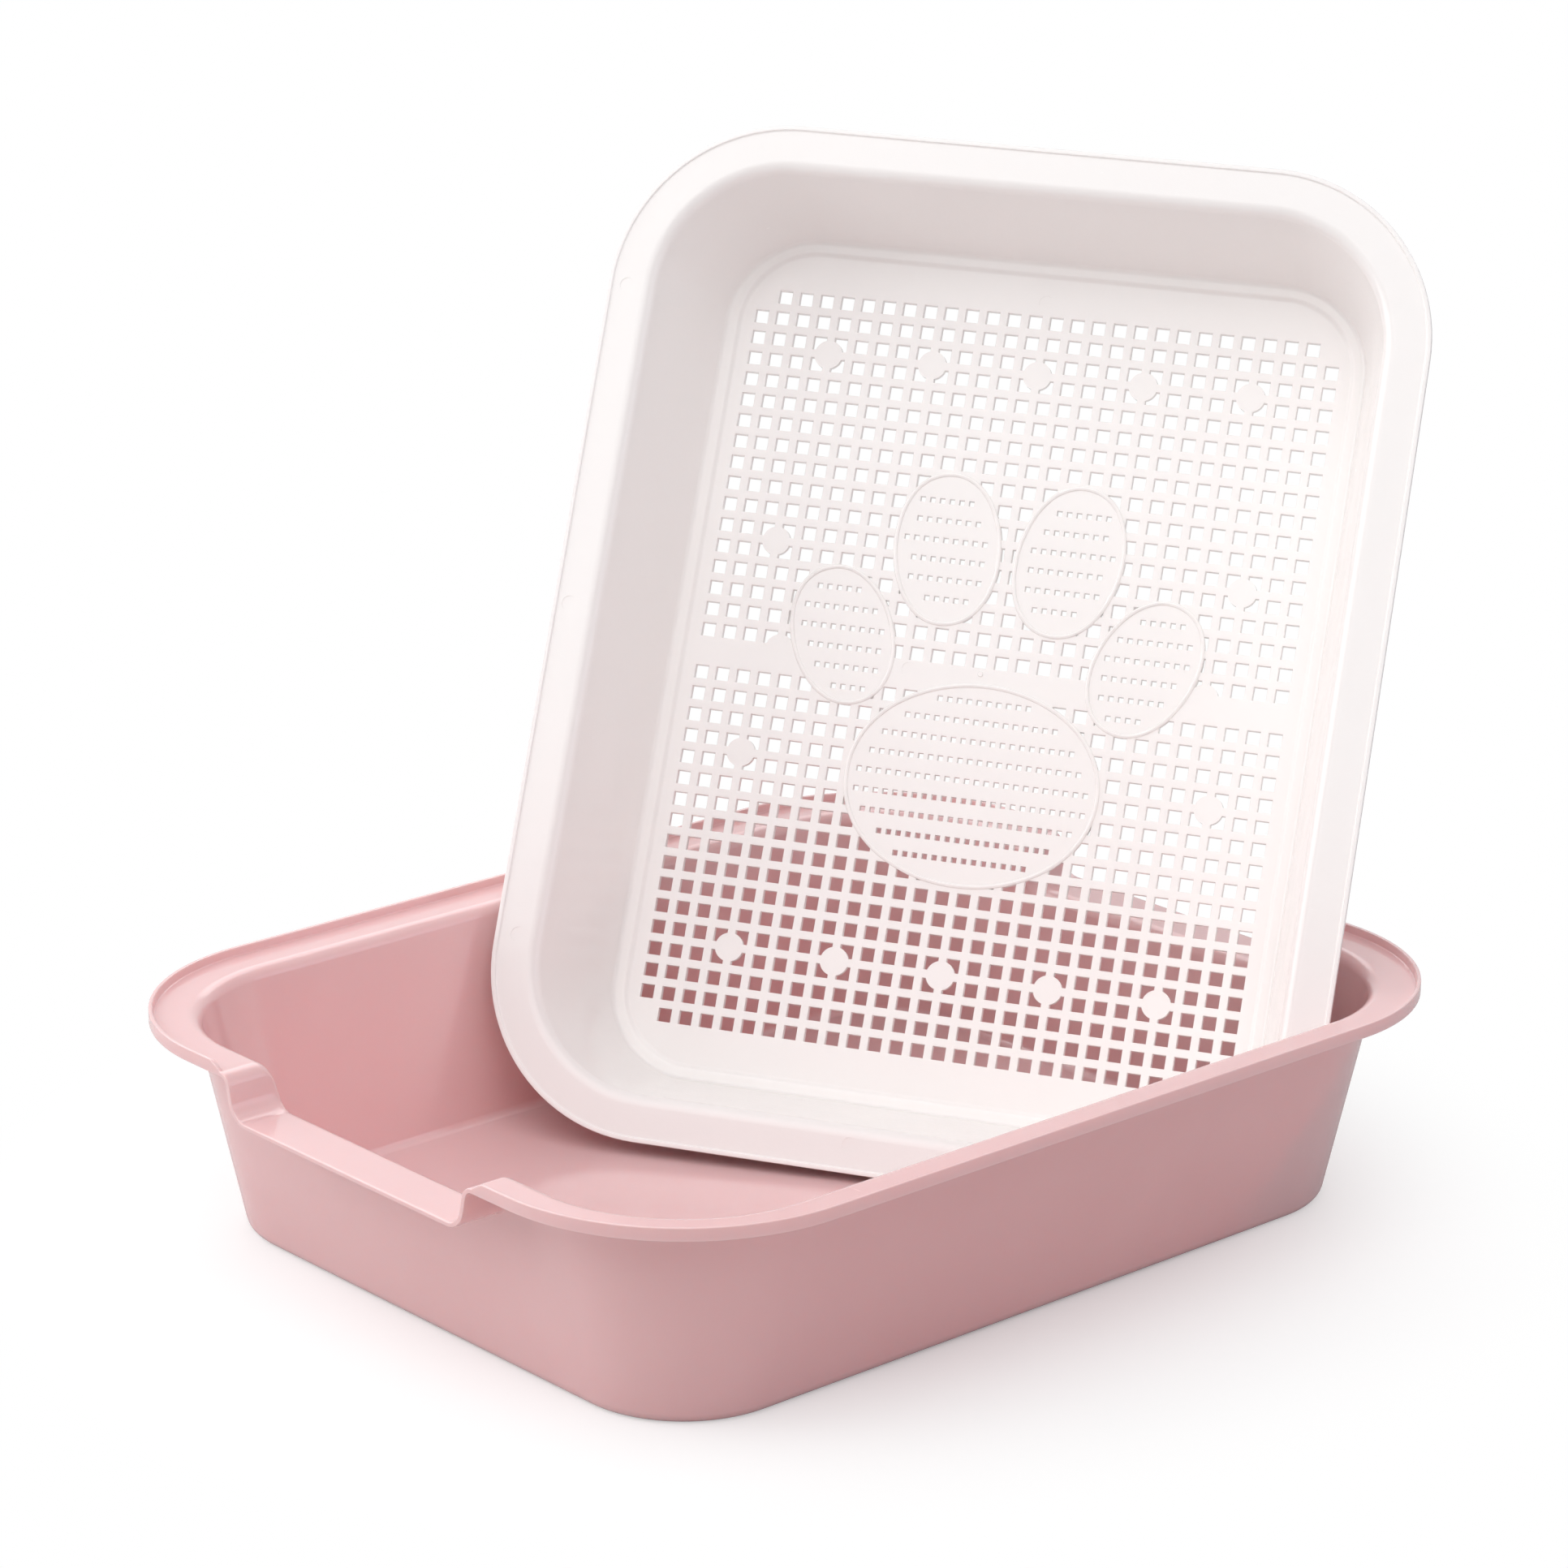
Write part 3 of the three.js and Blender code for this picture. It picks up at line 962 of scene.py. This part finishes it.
    def drop_slivers(self, net: Body) -> None:
        """Removes what is left of punches that would cut only a thin slit.

        Args:
            net: The net of punches.
        """
        Bench.edit(net)
        mesh = bmesh.from_edit_mesh(net.data)
        seen, thin = set(), []
        for first in mesh.verts:
            if first in seen:
                continue
            group, waiting = [], [first]
            seen.add(first)
            while waiting:
                vertex = waiting.pop()
                group.append(vertex)
                for edge in vertex.link_edges:
                    other = edge.other_vert(vertex)
                    if other not in seen:
                        seen.add(other)
                        waiting.append(other)
            faces = {face for vertex in group for face in vertex.link_faces}
            area = sum(f.calc_area() for f in faces if f.normal.z > UPWARD)
            if area < self.sliver * MM * MM:
                thin += group
        bpy.ops.mesh.select_all(action="DESELECT")
        for vertex in thin:
            vertex.select_set(True)
        bmesh.update_edit_mesh(net.data)
        bpy.ops.mesh.delete(type="VERT")
        Bench.clear()

    def small_punches(self) -> Body:
        """Models the punches of the small holes inside the paw print."""
        punch = self.punch(
            "small_punch", self.small_hole, self.small_foot, self.small_ease
        )
        margin = -self.line_width / 2 - self.small_margin

        def unwanted(x: float, y: float) -> bool:
            """Keeps the holes that lie wholly in one of the ovals."""
            return not self.in_print(x, y, self.small_hole / 2, margin)

        return self.net(punch, self.small_counts, self.small_steps, unwanted)

    def lean(self, piece: Body) -> None:
        """Turns the flat tray to where it leans in the pan.

        Args:
            piece: The tray, lying flat.
        """
        x, y, z = self.foot
        spin = Matrix.Rotation(math.radians(self.turn_deg), 4, "Z")
        tilt = Matrix.Rotation(math.radians(self.tilt_deg), 4, "X")
        roll = Matrix.Rotation(math.radians(self.roll_deg), 4, "Z")
        to_foot = Matrix.Translation(Vector((0, self.length / 2, -self.top)) * MM)
        place = Matrix.Translation(Vector((x, y, z)) * MM)
        piece.matrix_world = place @ spin @ tilt @ roll @ to_foot
        Bench.settle(piece)

    def build(self) -> Body:
        """Models the tray, dresses it and sets it on its body."""
        piece = self.shell()
        Bench.carve(piece, self.large_punches(), Cut.AWAY)
        Bench.carve(piece, self.small_punches(), Cut.AWAY)
        for oval in self.paw:
            Bench.carve(piece, self.line(oval), Cut.TOGETHER)
        self.marks(piece)
        Bench.clean(piece)
        self.lean(piece)
        Bench.smooth(piece, self.smooth_deg)
        piece.data.materials.clear()
        piece.data.materials.append(WHITE.make())
        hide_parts("sifting_tray")
        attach(piece, "tray")
        return piece


class Signal:
    """A socket whose number is used in sums, each of which adds a Math node."""

    def __init__(self, board: "NodeBoard", socket: bpy.types.NodeSocket) -> None:
        """Keeps the socket and the board that its nodes are added to."""
        self.board = board
        self.socket = socket

    def _sum(self, operation: str, other: object, swapped: bool = False) -> "Signal":
        """Adds one Math node.

        Args:
            operation: The Math node's operation.
            other: A number or signal.
            swapped: Whether the other comes first.

        Returns:
            The result.
        """
        first, second = (other, self) if swapped else (self, other)
        node = self.board.add(
            "ShaderNodeMath", {"operation": operation}, {0: first, 1: second}
        )
        return Signal(self.board, node.outputs[0])

    __add__ = partialmethod(_sum, "ADD")
    __radd__ = partialmethod(_sum, "ADD", swapped=True)
    __sub__ = partialmethod(_sum, "SUBTRACT")
    __rsub__ = partialmethod(_sum, "SUBTRACT", swapped=True)
    __mul__ = partialmethod(_sum, "MULTIPLY")
    most = partialmethod(_sum, "MAXIMUM")


class NodeBoard:
    """The node tree of one material or of the surroundings."""

    def __init__(self, tree: bpy.types.NodeTree) -> None:
        """Starts with an empty tree."""
        self.tree = tree
        tree.nodes.clear()

    def add(
        self, kind: str, settings: dict | None = None, sockets: dict | None = None
    ) -> bpy.types.Node:
        """Adds a node.

        Args:
            kind: The node's type.
            settings: Its settings, which are set first.
            sockets: Values, signals or sockets for its inputs.

        Returns:
            The node.
        """
        node = self.tree.nodes.new(kind)
        for name, value in (settings or {}).items():
            setattr(node, name, value)
        for name, value in (sockets or {}).items():
            socket = node.inputs[name]
            if isinstance(value, Signal):
                self.tree.links.new(value.socket, socket)
            elif isinstance(value, bpy.types.NodeSocket):
                self.tree.links.new(value, socket)
            else:
                socket.default_value = value
        return node

    def signal(self, node: bpy.types.Node, output: str | int = 0) -> Signal:
        """Gives a node's output as a signal."""
        return Signal(self, node.outputs[output])

    def mottle(
        self, where: bpy.types.NodeSocket, scale: float, detail: float
    ) -> Signal:
        """Gives soft noise on the object's own coordinates.

        Args:
            where: The coordinates.
            scale: How many blotches there are to a metre.
            detail: How much finer noise is on it.

        Returns:
            The noise, about 0.5 on average.
        """
        node = self.add(
            "ShaderNodeTexNoise", {},
            {"Vector": where, "Scale": scale, "Detail": detail},
        )
        return self.signal(node, "Fac")

    def step(self, value: Signal, low: float, high: float) -> Signal:
        """Rises smoothly from 0 to 1 between two values."""
        node = self.add(
            "ShaderNodeMapRange", {"interpolation_type": "SMOOTHSTEP"},
            {"Value": value, "From Min": low, "From Max": high},
        )
        return self.signal(node)

    def blend(
        self, share: object, first: object, second: object
    ) -> bpy.types.NodeSocket:
        """Mixes two colours.

        Args:
            share: How much of the second there is.
            first: A colour or socket.
            second: A colour or socket.

        Returns:
            The mixed colour's socket.
        """
        node = self.add(
            "ShaderNodeMix", {"data_type": "RGBA"}, {0: share, 6: first, 7: second}
        )
        return node.outputs[2]

    def white(self, strength: object) -> bpy.types.NodeSocket:
        """Gives a plain white glow of some strength."""
        node = self.add(
            "ShaderNodeEmission", {}, {"Color": (1, 1, 1, 1), "Strength": strength}
        )
        return node.outputs[0]


def tint(red: int, green: int, blue: int) -> tuple[float, float, float, float]:
    """Turns a colour as it is seen on a screen into the shader's own numbers.

    Args:
        red: 0 to 255.
        green: 0 to 255.
        blue: 0 to 255.

    Returns:
        The linear colour with full alpha.
    """
    def plain(part: int) -> float:
        """Turns one part."""
        share = part / 255
        return share / 12.92 if share < 0.04045 else ((share + 0.055) / 1.055) ** 2.4

    return plain(red), plain(green), plain(blue), 1.0


@dataclass(frozen=True)
class MouldedPlastic:
    """What both satin plastics share: their gloss, fine texture and wear."""

    label: str
    base: tuple[int, int, int]
    deep: tuple[int, int, int]
    worn: tuple[int, int, int]
    roughness: float
    gloss: float
    scatter: float
    depth: float
    glow: Triple
    ior: float = 1.49
    flow_noise: Pair = (9, 2)
    cloud_noise: Pair = (55, 3)
    fine_noise: Pair = (700, 3)
    grain_noise: Pair = (2600, 2)
    streak_noise: Pair = (24, 4)
    streak_turn: Triple = (0.2, 0.1, 0.7)
    streak_stretch: Triple = (1, 26, 26)
    streak_band: Pair = (0.66, 0.76)
    scuffed_band: Pair = (0.5, 0.68)
    deep_band: Pair = (0.45, 0.95)
    cloud_share: float = 0.35
    worn_share: float = 0.35
    cloud_rough: float = 0.09
    fine_rough: float = 0.05
    scuff_rough: float = 0.12
    grain_height: float = 0.35
    fine_height: float = 0.65
    cloud_height: float = 1.6
    scuff_height: float = -0.3
    bump_strength: float = 0.12
    bump_distance: float = 0.0002

    def make(self) -> bpy.types.Material:
        """Makes the material, whose patterns lie on the object's coordinates."""
        material = bpy.data.materials.new(self.label)
        material.use_nodes = True
        board = NodeBoard(material.node_tree)
        where = board.add("ShaderNodeTexCoord").outputs["Object"]
        flow = board.mottle(where, *self.flow_noise)
        cloud = board.mottle(where, *self.cloud_noise)
        grain = board.mottle(where, *self.grain_noise)
        fine = board.mottle(where, *self.fine_noise)
        long_way = board.add("ShaderNodeMapping", {}, {
            "Vector": where, "Rotation": self.streak_turn, "Scale": self.streak_stretch,
        }).outputs[0]
        streak = board.mottle(long_way, *self.streak_noise)
        scuff = board.step(streak, *self.streak_band)
        scuff = scuff * board.step(cloud, *self.scuffed_band)
        deep = board.step(flow + cloud * self.cloud_share, *self.deep_band)
        colour = board.blend(deep, tint(*self.base), tint(*self.deep))
        colour = board.blend(scuff * self.worn_share, colour, tint(*self.worn))
        rough = self.roughness + (cloud - 0.5) * self.cloud_rough
        rough = rough + (fine - 0.5) * self.fine_rough + scuff * self.scuff_rough
        height = grain * self.grain_height + fine * self.fine_height
        height = height + cloud * self.cloud_height + scuff * self.scuff_height
        bump = board.add("ShaderNodeBump", {}, {
            "Strength": self.bump_strength, "Distance": self.bump_distance,
            "Height": height,
        })
        shader = board.add("ShaderNodeBsdfPrincipled", {}, {
            "Base Color": colour,
            "Roughness": rough,
            "Normal": bump.outputs[0],
            "IOR": self.ior,
            "Specular IOR Level": self.gloss,
            "Subsurface Weight": self.scatter,
            "Subsurface Radius": self.glow,
            "Subsurface Scale": self.depth,
        })
        board.add("ShaderNodeOutputMaterial", {}, {"Surface": shader.outputs[0]})
        return material


PINK = MouldedPlastic(
    label="pink_moulded_plastic", base=(234, 196, 197), deep=(232, 192, 193),
    worn=(239, 204, 204), roughness=0.14, gloss=0.75, scatter=0.42,
    glow=(1.0, 0.6, 0.5), depth=0.004,
)
WHITE = MouldedPlastic(
    label="white_moulded_plastic", base=(250, 246, 244), deep=(249, 245, 243),
    worn=(251, 248, 246), roughness=0.17, gloss=0.6, scatter=0.33,
    glow=(1.0, 0.94, 0.92), depth=0.003,
)


@dataclass(frozen=True)
class Softbox:
    """One large soft lamp, aimed at the object."""

    label: str
    place: Triple
    width: float
    height: float
    power: float
    tone: Triple = (1.0, 1.0, 1.0)

    def hang(self) -> None:
        """Hangs the lamp, out of the camera's sight."""
        Bench.clear()
        bpy.ops.object.light_add(type="AREA", location=self.place)
        lamp = Bench.name(self.label)
        lamp.data.shape = "RECTANGLE"
        lamp.data.size = self.width
        lamp.data.size_y = self.height
        lamp.data.energy = self.power
        lamp.data.color = self.tone
        lamp.visible_camera = False
        lamp.rotation_euler = Vector(self.place).to_track_quat("Z", "Y").to_euler()


@dataclass
class Studio:
    """The pale floor, the soft light and the camera."""

    floor_size: float = 14.0
    floor_cuts: int = 7
    floor_lit: float = 0.7
    floor_seen: float = 0.819
    floor_lift: float = 0.24
    floor_fade: Pair = (0.12, 0.29)
    sky_white: float = 1.0
    sky_tint: tuple[float, float, float, float] = (1.0, 0.97, 0.972, 1.0)
    sky_even: float = 0.34
    sky_lean: float = 0.05
    sky_from: Triple = (-0.5, -0.3, 0.8)
    lamps: tuple[Softbox, ...] = (
        Softbox("key_softbox", (-1.7, -1.4, 1.1), 2.4, 1.8, 31.5),
        Softbox("top_softbox", (0.6, -0.85, 2.1), 2.6, 2.6, 30.5),
        Softbox("side_softbox", (1.8, 0.9, 0.65), 1.3, 0.9, 2.9, (0.88, 0.82, 1.0)),
        Softbox("back_softbox", (-1.3, 1.3, 1.8), 2.0, 1.5, 15.0),
    )
    camera_place: Triple = (1.2471, -1.1107, 0.69332)
    camera_turn_deg: Triple = (72.0665, -0.2196, 48.4655)
    lens: float = 118.88
    sensor: float = 36.0
    clip: Pair = (0.05, 60.0)

    def floor(self) -> None:
        """Lays the floor, white to the camera but with the object's shadow."""
        Bench.clear()
        bpy.ops.mesh.primitive_plane_add(size=self.floor_size, location=(0, 0, 0))
        piece = Bench.name("studio_floor")
        Bench.edit(piece)
        bpy.ops.mesh.subdivide(number_cuts=self.floor_cuts)
        Bench.clear()
        material = bpy.data.materials.new("pale_floor")
        material.use_nodes = True
        board = NodeBoard(material.node_tree)
        where = board.add("ShaderNodeTexCoord").outputs["Object"]
        length = board.add("ShaderNodeVectorMath", {"operation": "LENGTH"}, {0: where})
        far = board.step(board.signal(length, "Value"), *self.floor_fade)
        seen = board.signal(board.add("ShaderNodeLightPath"), Show.CAMERA.value)
        colour = board.blend(
            seen, (self.floor_lit,) * 3 + (1.0,), (self.floor_seen,) * 3 + (1.0,)
        )
        paper = board.add("ShaderNodeBsdfDiffuse", {}, {"Color": colour})
        lift = board.white(seen * self.floor_lift)
        near = board.add("ShaderNodeAddShader", {}, {0: paper.outputs[0], 1: lift})
        white = board.white(self.sky_white)
        mixed = board.add(
            "ShaderNodeMixShader", {}, {0: far * seen, 1: near.outputs[0], 2: white}
        )
        board.add("ShaderNodeOutputMaterial", {}, {"Surface": mixed.outputs[0]})
        piece.data.materials.append(material)

    def surroundings(self) -> None:
        """Sets the white surroundings and their even light."""
        world = bpy.data.worlds.new("soft_white")
        world.use_nodes = True
        bpy.context.scene.world = world
        board = NodeBoard(world.node_tree)
        path = board.add("ShaderNodeLightPath")
        direct = board.signal(path, Show.CAMERA.value)
        for way in (Show.GLOSSY, Show.THROUGH):
            direct = direct.most(board.signal(path, way.value))
        way = board.add("ShaderNodeTexCoord").outputs["Generated"]
        lean = board.add(
            "ShaderNodeVectorMath", {"operation": "DOT_PRODUCT"},
            {0: way, 1: Vector(self.sky_from).normalized()},
        )
        soft = board.signal(lean, "Value") * self.sky_lean + self.sky_even
        strength = soft + direct * (self.sky_white - soft)
        colour = board.blend(direct, self.sky_tint, (1, 1, 1, 1))
        glow = board.add(
            "ShaderNodeBackground", {}, {"Color": colour, "Strength": strength}
        )
        board.add("ShaderNodeOutputWorld", {}, {"Surface": glow.outputs[0]})

    def camera(self) -> None:
        """Places the camera where the photograph was taken from."""
        Bench.clear()
        turn = [math.radians(a) for a in self.camera_turn_deg]
        bpy.ops.object.camera_add(location=self.camera_place, rotation=turn)
        camera = Bench.name("camera")
        camera.data.sensor_width = self.sensor
        camera.data.lens = self.lens
        camera.data.clip_start, camera.data.clip_end = self.clip
        bpy.context.scene.camera = camera

    def build(self) -> None:
        """Sets the whole studio up."""
        bpy.context.scene.view_settings.view_transform = "Standard"
        self.surroundings()
        self.floor()
        for lamp in self.lamps:
            lamp.hang()
        self.camera()


def main() -> None:
    """Builds the two pieces and the studio, and logs each piece's triangle count."""
    logging.basicConfig(level=logging.INFO, format="%(name)s: %(message)s")
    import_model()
    for maker in (LitterPan(), SiftingTray()):
        piece = maker.build()
        mesh = piece.data
        mesh.calc_loop_triangles()
        LOG.info("%s: %d triangles", piece.name, len(mesh.loop_triangles))
    Studio().build()


if __name__ == "__main__":
    main()
